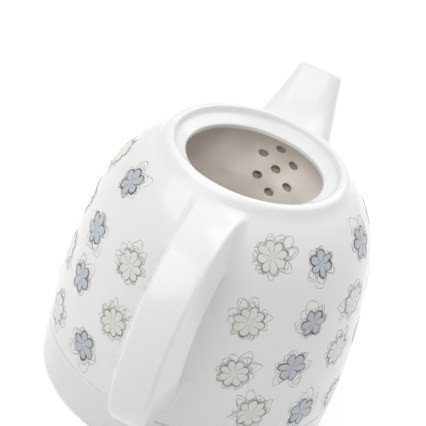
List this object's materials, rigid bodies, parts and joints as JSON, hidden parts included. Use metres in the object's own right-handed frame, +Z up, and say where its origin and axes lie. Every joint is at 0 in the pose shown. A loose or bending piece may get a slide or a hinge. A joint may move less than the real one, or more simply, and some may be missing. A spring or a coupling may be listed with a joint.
{
  "type": "teapot with a strainer in its wall",
  "caption": "Round white ceramic teapot with an open mouth and lid ledge, strap handle, tapered spout, and a strainer pierced in the wall behind the spout.",
  "frame": {"origin": "on the table, where the axis of the round body meets the flat foot", "axes": "+Z up along the body's axis, +X towards the spout, -X towards the handle"},
  "size_m": [0.2288, 0.1506, 0.1475],
  "materials": {
    "white_glaze": "glossy clear glaze",
    "base_glaze": "glossy",
    "blue_print": "transfer print under the glaze",
    "cream_print": "transfer print under the glaze",
    "line_print": "transfer print under the glaze"
  },
  "bodies": {
    "pot": {"pot_body": "white_glaze", "rim_ring": "white_glaze", "strainer_panel": "white_glaze", "spout": "white_glaze", "handle": "white_glaze", "base_cup": "base_glaze"}
  },
  "joints": []
}
